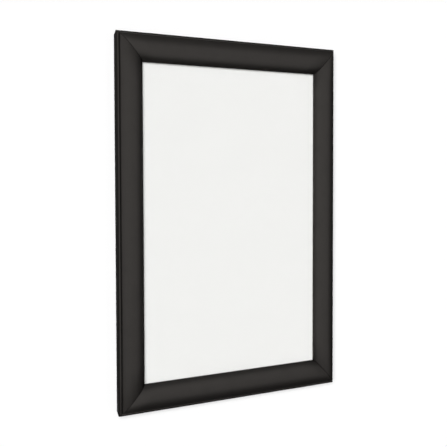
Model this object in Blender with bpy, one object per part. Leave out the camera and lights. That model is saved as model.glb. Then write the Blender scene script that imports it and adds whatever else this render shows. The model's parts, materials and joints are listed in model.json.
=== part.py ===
"""Front-loading snap frame for an A4 poster, built from its separate pieces.

The frame hangs on a wall. Lengths are in metres, +Z is up, the front faces -Y and the
wall plane is y = 0. The origin is the middle of the top profile's flat back.

A profile is drawn as a flat section of points (inset, rise): inset runs inward from the
frame's outermost line, and rise runs forward from the wall. Each side of the frame has
an empty on its outermost line, turned by quarter turns, and a side's pieces are built
in that empty's axes: along X, towards the front -Y, inward -Z.
"""
import math

import bmesh
import bpy
from mathutils import Matrix, Vector

# Sheets held by the frame
SHEET_WIDTH = 0.210
SHEET_HEIGHT = 0.297
POSTER_THICKNESS = 0.0002
COVER_THICKNESS = 0.0005
PANEL_THICKNESS = 0.0012

# Clearances
SEAT_GAP = 0.0003
EDGE_PLAY = 0.0004
MITRE_GAP = 0.0003

# Frame seen from the front
PROFILE_WIDTH = 0.025
LIP_OVERLAP = 0.010

# Base profile, against the wall
BACK_INSET = 0.0028
WALL = 0.0011
WEB = 0.0012
HINGE_RISE = 0.0085
BEAD_RADIUS = 0.0017
RIB = 0.0010
RIB_MARGIN = 0.0003
LEDGE = 0.0008
LEDGE_REACH = 0.0008
LOWER_LIP_RISE = 0.0026
LOWER_LIP = 0.0010
LOWER_LIP_REACH = 0.0080
UPPER_LIP = 0.0008
UPPER_LIP_REACH = 0.0050
BASE_ROUND = 0.0003
CORNER_FILLET = 0.0004

# Flap profile, hinged on the base profile's bead
SOCKET_WALL = 0.0010
FLAP_WALL = 0.0012
NOSE_HEIGHT = 0.0009
NOSE_ROUND = 0.0003
CROWN_RISE = 0.0031
CROWN_SHARE = 0.44
LIP_HEIGHT = 0.0018
LIP_FOOT = 0.0014
LIP_ROUND = 0.0003
NECK_FILLET = 0.0007
NOTCH_LAND = 0.00035
SOCKET_EDGE_ANGLE = math.radians(78)
SOCKET_BACK_ANGLE = math.radians(20)
LIP_SLOPE = math.radians(40)
OPENING_ANGLE = math.radians(90)

# Leaf springs, two behind each flap
SPRING_THICKNESS = 0.0005
SPRING_WIDTH = 0.020
SPRING_BOW = 0.0008
SPRING_PLACE_SHARE = 0.56

# Corner keys
KEY_THICKNESS = 0.0020
KEY_ARM = 0.034
KEY_CHAMFER = 0.0020
KEY_ROUND = 0.0006
KEY_HOLE_RADIUS = 0.0016
KEY_HOLE_SHARES = (0.52, 0.82)

# Wall screw holes in the two long base profiles
SCREW_HOLE_RADIUS = 0.00225
SCREW_HOLE_FROM_END = 0.047
CUT_OVERRUN = 0.001

# Fineness of round stretches
FINE_STEPS = 4
ROUND_STEPS = 14
FACE_STEPS = 20
HOLE_SEGMENTS = 24
SMOOTH_ANGLE = math.radians(28)
MERGE_DISTANCE = 0.000001

# Worked out: the frame from the sheets
SHEET_INSET = PROFILE_WIDTH - LIP_OVERLAP
FRAME_WIDTH = SHEET_WIDTH + 2 * SHEET_INSET
FRAME_HEIGHT = SHEET_HEIGHT + 2 * SHEET_INSET

# Worked out: the base profile's levels, from the wall forward
PANEL_BACK = LOWER_LIP_RISE + LOWER_LIP + SEAT_GAP
UPPER_LIP_BACK = PANEL_BACK + PANEL_THICKNESS + SEAT_GAP
UPPER_LIP_FRONT = UPPER_LIP_BACK + UPPER_LIP
POSTER_BACK = UPPER_LIP_FRONT + SEAT_GAP
COVER_BACK = POSTER_BACK + POSTER_THICKNESS + SEAT_GAP
COVER_FRONT = COVER_BACK + COVER_THICKNESS
LIP_SEAT = COVER_FRONT + SEAT_GAP
RIB_TOP = COVER_FRONT + RIB_MARGIN
KEY_BACK = WEB + SEAT_GAP
LEDGE_BACK = KEY_BACK + KEY_THICKNESS + SEAT_GAP
LEDGE_FRONT = LEDGE_BACK + LEDGE

# Worked out: the base profile's places, from the outside inward
RIB_INNER = SHEET_INSET - EDGE_PLAY
RIB_OUTER = RIB_INNER - RIB
WEB_MIDDLE = (BACK_INSET + RIB_INNER) / 2

# Worked out: the hinge, the spring's seat and the notch that its other end pushes in
HINGE = Vector((BEAD_RADIUS, HINGE_RISE))
SOCKET_INNER = BEAD_RADIUS + SEAT_GAP
SOCKET_OUTER = SOCKET_INNER + SOCKET_WALL
TIP_RADIUS = SPRING_THICKNESS / 2
NOTCH_RADIUS = TIP_RADIUS + SEAT_GAP
SPRING_SEAT = Vector((RIB_OUTER - NOTCH_RADIUS, LEDGE_FRONT + NOTCH_RADIUS))
NOTCH_ORBIT = SOCKET_OUTER + SEAT_GAP / 2 + TIP_RADIUS / 2


def polar(centre, radius, angle):
    """The point at a radius and an angle from a centre."""
    return centre + radius * Vector((math.cos(angle), math.sin(angle)))


def angle_to(start, end):
    """Direction from one point to another."""
    return math.atan2(end.y - start.y, end.x - start.x)


# The spring is as long with the flap shut as with it open, because the notch swings
# through equal angles on either side of the line from the hinge to the spring's seat.
DEAD_CENTRE = angle_to(HINGE, SPRING_SEAT)
NOTCH_ANGLE = DEAD_CENTRE - OPENING_ANGLE / 2
NOTCH = polar(HINGE, NOTCH_ORBIT, NOTCH_ANGLE)
SOCKET_END_ANGLE = NOTCH_ANGLE - (NOTCH_RADIUS + NOTCH_LAND) / NOTCH_ORBIT


def arc(centre, radius, start, end, steps):
    """Points on a circle from one angle to another, both ends included."""
    return [
        polar(centre, radius, start + (end - start) * step / steps)
        for step in range(steps + 1)
    ]


def bezier(start, handle_1, handle_2, end, steps):
    """Points on a cubic Bezier curve, both ends included."""
    points = []
    for step in range(steps + 1):
        t = step / steps
        s = 1 - t
        points.append(
            s**3 * start + 3 * s * s * t * handle_1 + 3 * s * t * t * handle_2 + t**3 * end
        )
    return points


def crossing(point_1, direction_1, point_2, direction_2):
    """Where two lines meet, each given by a point and a direction."""
    turn = direction_1.cross(direction_2)
    return point_1 + direction_1 * ((point_2 - point_1).cross(direction_2) / turn)


def rounded(corners):
    """An outline from (point, radius) corners; each radius becomes a small arc."""
    points = []
    for index, (corner, radius) in enumerate(corners):
        if radius == 0:
            points.append(corner)
            continue
        before = (corners[index - 1][0] - corner).normalized()
        after = (corners[(index + 1) % len(corners)][0] - corner).normalized()
        half = before.angle(after) / 2
        centre = corner + (before + after).normalized() * radius / math.sin(half)
        reach = radius / math.tan(half)
        first = angle_to(centre, corner + before * reach)
        last = angle_to(centre, corner + after * reach)
        sweep = (last - first + math.pi) % (2 * math.pi) - math.pi
        points += arc(centre, radius, first, first + sweep, FINE_STEPS)
    return points


def base_outline():
    """Section of a base profile: slanted outer wall with the hinge bead on its edge, flat
    back, and the rib that locates the sheets and carries the panel's slot."""
    back_edge = Vector((BACK_INSET, 0))
    to_hinge = HINGE - back_edge
    lean = angle_to(back_edge, HINGE) + math.asin(BEAD_RADIUS / to_hinge.length)
    up = Vector((math.cos(lean), math.sin(lean)))
    inward = Vector((up.y, -up.x))
    # The wall's inner face meets the bead on its under side.
    offset = BEAD_RADIUS - WALL
    drop = math.sqrt(BEAD_RADIUS**2 - offset**2)
    wall_root = HINGE - inward * offset - up * drop
    start = angle_to(HINGE, HINGE - inward)
    end = angle_to(HINGE, wall_root)
    sweep = (start - end) % (2 * math.pi)
    bead = arc(HINGE, BEAD_RADIUS, start, start - sweep, 2 * ROUND_STEPS)
    along_web = Vector((1, 0))
    wall_foot = crossing(wall_root, up, Vector((0, WEB)), along_web)
    ledge_tip = RIB_OUTER - LEDGE_REACH
    upper_tip = RIB_INNER + UPPER_LIP_REACH
    lower_tip = RIB_INNER + LOWER_LIP_REACH
    corners = [(back_edge, BASE_ROUND)]
    corners += [(point, 0) for point in bead]
    corners += [
        (wall_foot, CORNER_FILLET),
        (Vector((RIB_OUTER, WEB)), BASE_ROUND),
        (Vector((RIB_OUTER, LEDGE_BACK)), 0),
        (Vector((ledge_tip, LEDGE_BACK)), BASE_ROUND),
        (Vector((ledge_tip, LEDGE_FRONT)), BASE_ROUND),
        (Vector((RIB_OUTER, LEDGE_FRONT)), 0),
        (Vector((RIB_OUTER, RIB_TOP)), BASE_ROUND),
        (Vector((RIB_INNER, RIB_TOP)), BASE_ROUND),
        (Vector((RIB_INNER, UPPER_LIP_FRONT)), 0),
        (Vector((upper_tip, UPPER_LIP_FRONT)), BASE_ROUND),
        (Vector((upper_tip, UPPER_LIP_BACK)), BASE_ROUND),
        (Vector((RIB_INNER, UPPER_LIP_BACK)), 0),
        (Vector((RIB_INNER, LOWER_LIP_RISE + LOWER_LIP)), 0),
        (Vector((lower_tip, LOWER_LIP_RISE + LOWER_LIP)), BASE_ROUND),
        (Vector((lower_tip, LOWER_LIP_RISE)), BASE_ROUND),
        (Vector((RIB_INNER, LOWER_LIP_RISE)), BASE_ROUND),
        (Vector((RIB_INNER, 0)), BASE_ROUND),
    ]
    return rounded(corners)


def channel_inset():
    """How far in the base profile's channel starts, past the fillet at its wall's foot."""
    lean = math.atan2(HINGE_RISE, BACK_INSET - BEAD_RADIUS)
    return BACK_INSET + WALL / math.sin(lean) + CORNER_FILLET


def flap_face():
    """Front of a flap: an arc from the nose over its outer edge up to the crown, then a
    fall that steepens to the lip."""
    edge = polar(HINGE, SOCKET_INNER, SOCKET_EDGE_ANGLE)
    nose = edge + Vector((0, NOSE_HEIGHT))
    crown = Vector((PROFILE_WIDTH * CROWN_SHARE, edge.y + CROWN_RISE))
    lip = Vector((PROFILE_WIDTH, LIP_SEAT + LIP_HEIGHT))
    climb = crown - nose
    radius = climb.length_squared / (2 * climb.y)
    centre = crown - Vector((0, radius))
    rise = arc(centre, radius, angle_to(centre, nose), math.pi / 2, FACE_STEPS)
    run = (lip.x - crown.x) / 2
    flat = crown + Vector((run, 0))
    steep = lip - (run / 2) * Vector((math.cos(LIP_SLOPE), -math.sin(LIP_SLOPE)))
    return rise[:-1], bezier(crown, flat, steep, lip, FACE_STEPS)


def inner_face(face, wall):
    """The same curve moved square to itself by the wall's thickness, behind the face."""
    moved = []
    for index, point in enumerate(face):
        before = face[max(index - 1, 0)]
        after = face[min(index + 1, len(face) - 1)]
        along = (after - before).normalized()
        moved.append(point + wall * Vector((along.y, -along.x)))
    return moved


def flap_outline():
    """Section of a flap: nose and arched face, lip that presses the cover sheet, and the
    socket that wraps the hinge bead and ends in the springs' notch."""
    rise, fall = flap_face()
    foot = PROFILE_WIDTH - LIP_FOOT
    back = inner_face(rise + fall, FLAP_WALL)
    socket_top = polar(HINGE, SOCKET_OUTER, SOCKET_BACK_ANGLE)
    neck_start = socket_top.x + 2 * NECK_FILLET
    behind = [point for point in reversed(back) if neck_start < point.x < foot]
    up_neck = Vector((-math.sin(SOCKET_BACK_ANGLE), math.cos(SOCKET_BACK_ANGLE)))
    neck = crossing(socket_top, up_neck, behind[-1], behind[-1] - behind[-2])
    lip_root = crossing(Vector((foot, 0)), Vector((0, 1)), behind[0], behind[0] - behind[1])
    # The notch is bitten out of the socket's back, round the spring's tip.
    orbit_gap = NOTCH_ORBIT**2 + SOCKET_OUTER**2 - NOTCH_RADIUS**2
    half_bite = math.acos(orbit_gap / (2 * NOTCH_ORBIT * SOCKET_OUTER))
    lip_1 = polar(HINGE, SOCKET_OUTER, NOTCH_ANGLE + half_bite)
    lip_2 = polar(HINGE, SOCKET_OUTER, NOTCH_ANGLE - half_bite)
    first = angle_to(NOTCH, lip_1)
    last = angle_to(NOTCH, lip_2)
    sweep = (last - first) % (2 * math.pi)
    bite = arc(NOTCH, NOTCH_RADIUS, first, first + sweep, 2 * FINE_STEPS)
    back_arc = arc(
        HINGE, SOCKET_OUTER, SOCKET_BACK_ANGLE, NOTCH_ANGLE + half_bite, ROUND_STEPS
    )
    land = arc(HINGE, SOCKET_OUTER, NOTCH_ANGLE - half_bite, SOCKET_END_ANGLE, FINE_STEPS)
    inner = arc(HINGE, SOCKET_INNER, SOCKET_END_ANGLE, SOCKET_EDGE_ANGLE, 2 * ROUND_STEPS)
    corners = [(rise[0], NOSE_ROUND)]
    corners += [(point, 0) for point in rise[1:] + fall[:-1]]
    corners += [
        (fall[-1], LIP_ROUND),
        (Vector((PROFILE_WIDTH, LIP_SEAT)), LIP_ROUND),
        (Vector((foot, LIP_SEAT)), LIP_ROUND),
        (lip_root, LIP_ROUND),
    ]
    corners += [(point, 0) for point in behind[1:]]
    corners.append((neck, NECK_FILLET))
    corners += [(point, 0) for point in back_arc[:-1] + bite + land[1:] + inner]
    return rounded(corners)


def spring_outline():
    """Section of a leaf spring: a bowed strip with round tips, from its seat in the base
    profile to the notch in the flap's socket."""
    chord = NOTCH - SPRING_SEAT
    radius = (chord.length**2 / 4 + SPRING_BOW**2) / (2 * SPRING_BOW)
    half = math.asin(chord.length / (2 * radius))
    along = chord.normalized()
    front = Vector((along.y, -along.x))
    middle = (NOTCH + SPRING_SEAT) / 2
    centre = middle + front * (radius - SPRING_BOW)
    behind = angle_to(centre, middle)
    outer = arc(centre, radius + TIP_RADIUS, behind - half, behind + half, ROUND_STEPS)
    inner = arc(centre, radius - TIP_RADIUS, behind + half, behind - half, ROUND_STEPS)
    tip_1 = polar(centre, radius, behind + half)
    tip_2 = polar(centre, radius, behind - half)
    round_1 = arc(tip_1, TIP_RADIUS, behind + half, behind + half + math.pi, FINE_STEPS)
    round_2 = arc(tip_2, TIP_RADIUS, behind - half + math.pi, behind - half + 2 * math.pi,
                  FINE_STEPS)
    return outer + round_1[1:-1] + inner + round_2[1:-1]


def drawn_mesh(name, outlines, thickness):
    """A closed mesh from flat outlines, the first the edge and the others holes."""
    drawing = bpy.data.curves.new(name, "CURVE")
    drawing.dimensions = "2D"
    drawing.fill_mode = "BOTH"
    drawing.extrude = thickness / 2
    for outline in outlines:
        spline = drawing.splines.new("POLY")
        spline.points.add(len(outline) - 1)
        for spot, point in zip(spline.points, outline):
            spot.co = (point.x, point.y, 0, 1)
        spline.use_cyclic_u = True
    guide = bpy.data.objects.new(name, drawing)
    bpy.context.scene.collection.objects.link(guide)
    bpy.context.view_layer.update()
    evaluated = guide.evaluated_get(bpy.context.evaluated_depsgraph_get())
    mesh = bpy.data.meshes.new_from_object(evaluated)
    bpy.data.objects.remove(guide)
    bpy.data.curves.remove(drawing)
    mesh.name = name
    shape = bmesh.new()
    shape.from_mesh(mesh)
    bmesh.ops.remove_doubles(shape, verts=shape.verts, dist=MERGE_DISTANCE)
    bmesh.ops.recalc_face_normals(shape, faces=shape.faces)
    shape.to_mesh(mesh)
    shape.free()
    return mesh


def swing_reach(point):
    """How far inward a flap's point gets while the flap swings open. What lies behind the
    hinge swings inward first, so the mitred ends are cut back for it."""
    if point.y >= HINGE.y:
        return point.x
    return HINGE.x + (point - HINGE).length


def mitre(mesh, length, reach):
    """Slide each end point of a drawn profile back to the corner's mitre plane."""
    half_gap = MITRE_GAP / 2 * math.sqrt(2)
    for vertex in mesh.vertices:
        section = Vector(vertex.co.xy)
        end = length / 2 - reach(section) - half_gap
        vertex.co.z = math.copysign(end, vertex.co.z)


def laid_along(mesh, origin):
    """Turn a drawn section (inset, rise, along) into a side's axes, about an origin."""
    shift = Matrix.Translation((-origin.x, -origin.y, 0))
    turn = Matrix(((0, 0, -1, 0), (0, -1, 0, 0), (-1, 0, 0, 0), (0, 0, 0, 1)))
    mesh.transform(turn @ shift)
    mesh.update()
    return mesh


def finish_mesh(mesh, material):
    """Give a mesh its material and shade its round stretches smooth."""
    mesh.materials.append(material)
    mesh.shade_smooth()
    mesh.set_sharp_from_angle(angle=SMOOTH_ANGLE)


def make_material(name, colour, metallic, roughness):
    """A Principled material with one plain colour."""
    material = bpy.data.materials.new(name)
    material.use_nodes = True
    shader = material.node_tree.nodes["Principled BSDF"]
    shader.inputs["Base Color"].default_value = (*colour, 1)
    shader.inputs["Metallic"].default_value = metallic
    shader.inputs["Roughness"].default_value = roughness
    material.diffuse_color = (*colour, 1)
    return material


def make_object(name, mesh, collection, parent, location):
    """Link an object under its side's empty."""
    made = bpy.data.objects.new(name, mesh)
    collection.objects.link(made)
    made.parent = parent
    made.location = location
    return made


def side_place(inset, rise, along):
    """A place in a side's axes."""
    return Vector((along, -rise, -inset))


def make_side(name, quarter, collection):
    """The empty of one side, on the frame's outermost line at the wall."""
    side = bpy.data.objects.new(name + "_side", None)
    collection.objects.link(side)
    angle = quarter * math.pi / 2
    middle = Vector((0, 0, WEB_MIDDLE - FRAME_HEIGHT / 2))
    half = FRAME_HEIGHT / 2 if quarter % 2 == 0 else FRAME_WIDTH / 2
    side.location = middle + half * Vector((math.sin(angle), 0, math.cos(angle)))
    side.rotation_euler = (0, angle, 0)
    return side


def make_base(name, side, length, material, collection):
    """One base profile, mitred at both ends."""
    mesh = drawn_mesh("base_profile_" + name, [base_outline()], length)
    mitre(mesh, length, lambda point: point.x)
    laid_along(mesh, Vector((0, 0)))
    finish_mesh(mesh, material)
    return make_object("base_profile_" + name, mesh, collection, side, (0, 0, 0))


def make_flap(name, side, length, material, collection):
    """One flap, with its object's origin on the hinge axis."""
    mesh = drawn_mesh("flap_" + name, [flap_outline()], length)
    mitre(mesh, length, swing_reach)
    laid_along(mesh, HINGE)
    finish_mesh(mesh, material)
    place = side_place(HINGE.x, HINGE.y, 0)
    return make_object("flap_" + name, mesh, collection, side, place)


def make_springs(name, side, length, material, collection):
    """Two leaf springs, each with its origin on the line of the seats."""
    mesh = drawn_mesh("spring_" + name, [spring_outline()], SPRING_WIDTH)
    laid_along(mesh, SPRING_SEAT)
    finish_mesh(mesh, material)
    for number, direction in enumerate((-1, 1), start=1):
        along = direction * SPRING_PLACE_SHARE * length / 2
        place = side_place(SPRING_SEAT.x, SPRING_SEAT.y, along)
        make_object(f"spring_{name}_{number}", mesh, collection, side, place)


def drill(base, length, collection, cutters):
    """The two wall screw holes of a long base profile."""
    for number, direction in enumerate((-1, 1), start=1):
        shape = bmesh.new()
        bmesh.ops.create_cone(
            shape, cap_ends=True, segments=HOLE_SEGMENTS, radius1=SCREW_HOLE_RADIUS,
            radius2=SCREW_HOLE_RADIUS, depth=WEB + 2 * CUT_OVERRUN,
            matrix=Matrix.Rotation(math.pi / 2, 4, "X"),
        )
        mesh = bpy.data.meshes.new("screw_hole")
        shape.to_mesh(mesh)
        shape.free()
        along = direction * (length / 2 - SCREW_HOLE_FROM_END)
        place = side_place(WEB_MIDDLE, WEB / 2, along)
        hole = make_object(f"cut_{base.name}_{number}", mesh, cutters, base.parent, place)
        hole.hide_render = True
        hole.display_type = "WIRE"
        cut = base.modifiers.new(f"screw_hole_{number}", "BOOLEAN")
        cut.operation = "DIFFERENCE"
        cut.solver = "EXACT"
        cut.object = hole


def key_outline():
    """Edge of a corner key in the plane of the wall: an L whose arms lie in the channels
    of two base profiles, with chamfered arm ends."""
    outer = channel_inset()
    inner = RIB_OUTER - SEAT_GAP
    end = outer + KEY_ARM
    side = [
        (Vector((end - KEY_CHAMFER, outer)), KEY_ROUND),
        (Vector((end, outer + KEY_CHAMFER)), KEY_ROUND),
        (Vector((end, inner - KEY_CHAMFER)), KEY_ROUND),
        (Vector((end - KEY_CHAMFER, inner)), KEY_ROUND),
    ]
    mirrored = [(corner.yx, radius) for corner, radius in reversed(side)]
    corners = [(Vector((outer, outer)), KEY_ROUND)]
    corners += side + [(Vector((inner, inner)), KEY_ROUND)] + mirrored
    return rounded(corners)


def key_holes():
    """The staking holes in both arms of a corner key."""
    middle = (channel_inset() + RIB_OUTER - SEAT_GAP) / 2
    holes = []
    for share in KEY_HOLE_SHARES:
        along = channel_inset() + KEY_ARM * share
        for centre in (Vector((along, middle)), Vector((middle, along))):
            ring = arc(centre, KEY_HOLE_RADIUS, 0, 2 * math.pi, HOLE_SEGMENTS)
            holes.append(ring[:-1])
    return holes


def make_keys(material, collection):
    """Four corner keys that share one mesh, turned a quarter each."""
    mesh = drawn_mesh("corner_key", [key_outline()] + key_holes(), KEY_THICKNESS)
    # Drawn from the frame's corner as (inset, inset), laid flat against the wall.
    mesh.transform(Matrix.Rotation(math.pi / 2, 4, "X"))
    mesh.update()
    finish_mesh(mesh, material)
    places = (
        ("bottom_left", -1, -1), ("top_left", -1, 1), ("top_right", 1, 1),
        ("bottom_right", 1, -1),
    )
    for quarter, (name, across, up) in enumerate(places):
        key = make_object("corner_key_" + name, mesh, collection, None, (
            across * FRAME_WIDTH / 2,
            -KEY_BACK - KEY_THICKNESS / 2,
            WEB_MIDDLE - FRAME_HEIGHT / 2 + up * FRAME_HEIGHT / 2,
        ))
        key.rotation_euler = (0, quarter * math.pi / 2, 0)


def make_sheet(name, back, thickness, material, collection):
    """A flat rectangular sheet with its back face at a given rise."""
    shape = bmesh.new()
    bmesh.ops.create_cube(
        shape, size=1, matrix=Matrix.Diagonal((SHEET_WIDTH, thickness, SHEET_HEIGHT, 1))
    )
    mesh = bpy.data.meshes.new(name)
    shape.to_mesh(mesh)
    shape.free()
    mesh.materials.append(material)
    place = (0, -back - thickness / 2, WEB_MIDDLE - FRAME_HEIGHT / 2)
    return make_object(name, mesh, collection, None, place)


def build():
    """Clear the scene and make the whole frame."""
    for leftover in list(bpy.data.objects):
        bpy.data.objects.remove(leftover)
    parts = bpy.data.collections.new("snap_poster_frame")
    cutters = bpy.data.collections.new("cutters")
    bpy.context.scene.collection.children.link(parts)
    bpy.context.scene.collection.children.link(cutters)

    black_anodised = make_material("black_anodised", (0.045, 0.038, 0.037), 0.7, 0.4)
    spring_steel = make_material("spring_steel", (0.42, 0.42, 0.44), 1.0, 0.32)
    zinc_plate = make_material("zinc_plate", (0.60, 0.61, 0.63), 1.0, 0.38)
    panel_plastic = make_material("panel_plastic", (0.10, 0.10, 0.10), 0.0, 0.55)
    poster_paper = make_material("poster_paper", (0.86, 0.86, 0.85), 0.0, 0.8)
    cover_plastic = make_material("cover_plastic", (0.90, 0.90, 0.89), 0.0, 0.45)

    for quarter, name in enumerate(("top", "right", "bottom", "left")):
        upright = quarter % 2 == 1
        length = FRAME_HEIGHT if upright else FRAME_WIDTH
        side = make_side(name, quarter, parts)
        base = make_base(name, side, length, black_anodised, parts)
        make_flap(name, side, length, black_anodised, parts)
        make_springs(name, side, length, spring_steel, parts)
        if upright:
            drill(base, length, parts, cutters)

    make_keys(zinc_plate, parts)
    make_sheet("back_panel", PANEL_BACK, PANEL_THICKNESS, panel_plastic, parts)
    make_sheet("poster_sheet", POSTER_BACK, POSTER_THICKNESS, poster_paper, parts)
    make_sheet("cover_sheet", COVER_BACK, COVER_THICKNESS, cover_plastic, parts)
    bpy.context.view_layer.update()


build()
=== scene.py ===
# %% [markdown]
# # A snap poster frame in black anodised aluminium
#
# The frame is four base profiles screwed to the wall and four flap profiles that hinge
# on them. A flap is pulled up at its inner edge and swings out; two leaf springs push it
# shut again once it is past half way. Between the two rows of profiles lie a plastic back
# panel, the paper and a clear matt cover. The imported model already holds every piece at
# its real size, so this script is only about looks: finer surfaces for the same pieces,
# and a finish for each that is named for how the real one is made.

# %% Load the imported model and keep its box
import json
import math

import bpy
import numpy as np
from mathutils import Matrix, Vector
from mathutils.geometry import tessellate_polygon


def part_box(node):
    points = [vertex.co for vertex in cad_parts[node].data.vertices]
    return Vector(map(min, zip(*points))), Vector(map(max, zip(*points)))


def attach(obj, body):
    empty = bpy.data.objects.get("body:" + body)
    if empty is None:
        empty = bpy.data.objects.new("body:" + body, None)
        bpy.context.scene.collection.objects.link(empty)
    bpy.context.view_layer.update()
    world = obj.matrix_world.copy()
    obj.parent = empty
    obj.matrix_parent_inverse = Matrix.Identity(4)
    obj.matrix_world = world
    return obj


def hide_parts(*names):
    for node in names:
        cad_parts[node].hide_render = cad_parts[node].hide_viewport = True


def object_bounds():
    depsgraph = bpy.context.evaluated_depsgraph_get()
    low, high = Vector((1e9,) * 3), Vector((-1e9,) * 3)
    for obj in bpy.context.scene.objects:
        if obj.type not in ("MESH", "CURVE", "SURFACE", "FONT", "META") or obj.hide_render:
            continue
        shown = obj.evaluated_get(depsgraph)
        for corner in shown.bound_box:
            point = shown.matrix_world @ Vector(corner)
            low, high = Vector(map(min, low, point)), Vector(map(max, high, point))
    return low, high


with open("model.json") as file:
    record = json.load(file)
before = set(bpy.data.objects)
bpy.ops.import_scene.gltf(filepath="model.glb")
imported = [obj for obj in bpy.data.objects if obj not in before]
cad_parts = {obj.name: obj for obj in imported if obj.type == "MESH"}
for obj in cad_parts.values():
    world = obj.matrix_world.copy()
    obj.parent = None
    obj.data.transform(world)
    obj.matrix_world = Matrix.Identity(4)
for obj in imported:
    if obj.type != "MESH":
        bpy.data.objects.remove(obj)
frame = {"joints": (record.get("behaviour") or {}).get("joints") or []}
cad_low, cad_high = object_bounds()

scene = bpy.context.scene
scene.view_settings.view_transform = "Standard"
print("packed box in mm:", [round(1000 * (b - a), 1) for a, b in zip(cad_low, cad_high)])

# %% [markdown]
# ## Sizes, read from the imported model
#
# Nothing here is measured twice. The outer line, the hinge axes, the springs' seats and
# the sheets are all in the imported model, so they are read from it. What the model can't
# tell, because it is a wall thickness or a small radius, gets a name where it is first
# needed.
#
# A profile is drawn as a flat section of (inset, rise) points: inset runs from the
# frame's outermost line inward, rise runs from the wall forward.

# %% Outer sides, hinge line and spring seat
width, _, height = cad_high - cad_low
middle = Vector(((cad_low.x + cad_high.x) / 2, 0, (cad_low.z + cad_high.z) / 2))
joint_place = {joint["name"]: joint["pos_m"] for joint in frame["joints"]}


def in_section(place):
    """A place on the top side as (inset, rise): down from the top edge, forward from the
    wall."""
    return np.array([cad_high.z - place[2], -place[1]])


hinge = in_section(joint_place["top_flap_hinge"])
spring_seat = in_section(joint_place["top_spring_tilt"])
profile_width = cad_high.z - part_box("flap_top")[0].z
print("hinge and spring seat in mm:", (1000 * hinge).round(2), (1000 * spring_seat).round(2))
print("profile width in mm:", round(1000 * profile_width, 2))

# %% Levels of the sheets, and the inner edge that they share
sheet_low, sheet_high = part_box("cover_sheet")
cover_front = -sheet_low.y
panel_back = -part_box("back_panel")[1].y
panel_front = -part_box("back_panel")[0].y
key_back = -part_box("corner_key_top_left")[1].y
key_front = -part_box("corner_key_top_left")[0].y
sheet_inset = cad_high.z - sheet_high.z
print("sheets start at an inset of", round(1000 * sheet_inset, 2), "mm")

# %% Clearances, and the usual radius of an extruded edge
SEAT_GAP = 0.0003
EDGE_PLAY = 0.0004
EDGE_ROUND = 0.0003
print("seated pieces are", round(1000 * SEAT_GAP, 2), "mm apart")

# %% [markdown]
# ## Drawing a section with arrays
#
# An extruded profile is pushed through a die, so its whole shape is one flat outline.
# It could be modelled as boxes and tubes joined together, but the real thing has no
# joints. So the outline is worked out as an array of points, from arcs, straight lines
# and one Bezier curve, and then carried along the side.

# %% Arcs and crossings
ARC_STEPS = 40
BEAD_STEPS = 80


def toward(angle):
    """Unit vector: (cosine, sine) of the angle, for one angle or an array of them."""
    return np.stack([np.cos(angle), np.sin(angle)], axis=-1)


def angle_of(vector):
    """The vector's angle from the inset axis."""
    return math.atan2(vector[1], vector[0])


def arc(centre, radius, start, end, steps=ARC_STEPS):
    """Centre plus radius times the unit vector, for even steps of angle."""
    return centre + radius * toward(np.linspace(start, end, steps + 1))


def cross(a, b):
    """Flat cross product: a.x times b.y less a.y times b.x."""
    return a[..., 0] * b[..., 1] - a[..., 1] * b[..., 0]


def crossing(point_1, along_1, point_2, along_2):
    """Where two lines meet: go along the first by the share that puts it on the second."""
    share = cross(point_2 - point_1, along_2) / cross(along_1, along_2)
    return point_1 + along_1 * share


def unit(vectors):
    """Each vector divided by its own length."""
    return vectors / np.linalg.norm(vectors, axis=-1, keepdims=True)


print("steps in an arc:", ARC_STEPS, "and round the bead:", BEAD_STEPS)

# %% Rounded corners and supported edges
FILLET_STEPS = 8
STRAIGHT = math.radians(89.9)
NO_LENGTH = 1e-12
SAME_PLACE = 1e-7
SUPPORT = 0.00004
LONG_STRETCH = 8 * SUPPORT


def rounded(points, radii):
    """Every corner at once becomes an arc that touches both of its sides: the centre lies
    on the half-angle line, at radius over the sine of half the angle. A corner of radius
    zero gives the same point again and again, and repeats are then dropped."""
    points, radii = np.asarray(points), np.asarray(radii)[:, None]
    before = unit(np.roll(points, 1, axis=0) - points)
    after = unit(np.roll(points, -1, axis=0) - points)
    half = np.arccos(np.clip((before * after).sum(1), -1, 1))[:, None] / 2
    straight = half > STRAIGHT
    bisector = np.where(straight, 0, before + after)
    length = np.maximum(np.linalg.norm(bisector, axis=1, keepdims=True), NO_LENGTH)
    centre = points + bisector / length * radii / np.sin(half)
    first = points + before * radii / np.tan(half) - centre
    last = points + after * radii / np.tan(half) - centre
    sweep = np.arctan2(cross(first, last), (first * last).sum(1))
    turn = np.linspace(0, 1, FILLET_STEPS + 1)[None, :] * sweep[:, None]
    cos, sin = np.cos(turn)[..., None], np.sin(turn)[..., None]
    square = np.stack([-first[:, 1], first[:, 0]], axis=1)
    curve = centre[:, None] + first[:, None] * cos + square[:, None] * sin
    curve = curve.reshape(-1, 2)
    step = np.linalg.norm(curve - np.roll(curve, 1, axis=0), axis=1)
    return curve[step > SAME_PLACE]


def supported(section):
    """Two more points close to the ends of each long straight stretch, so that smooth
    shading turns only at its corners and the flat between them stays flat."""
    following = np.roll(section, -1, axis=0)
    length = np.linalg.norm(following - section, axis=1)[:, None]
    along = (following - section) / length
    stack = np.stack([section, section + along * SUPPORT, following - along * SUPPORT], 1)
    keep = np.stack([np.ones(len(section), bool)] + [length[:, 0] > LONG_STRETCH] * 2, 1)
    return stack[keep]


def counter_clockwise(outline):
    """The outline in the order that keeps its inside on the left: its signed area, half
    the sum of each point crossed with the next, has to be positive."""
    area = cross(outline, np.roll(outline, -1, axis=0)).sum() / 2
    return outline if area > 0 else outline[::-1]


print("steps in a fillet:", FILLET_STEPS)

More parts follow.
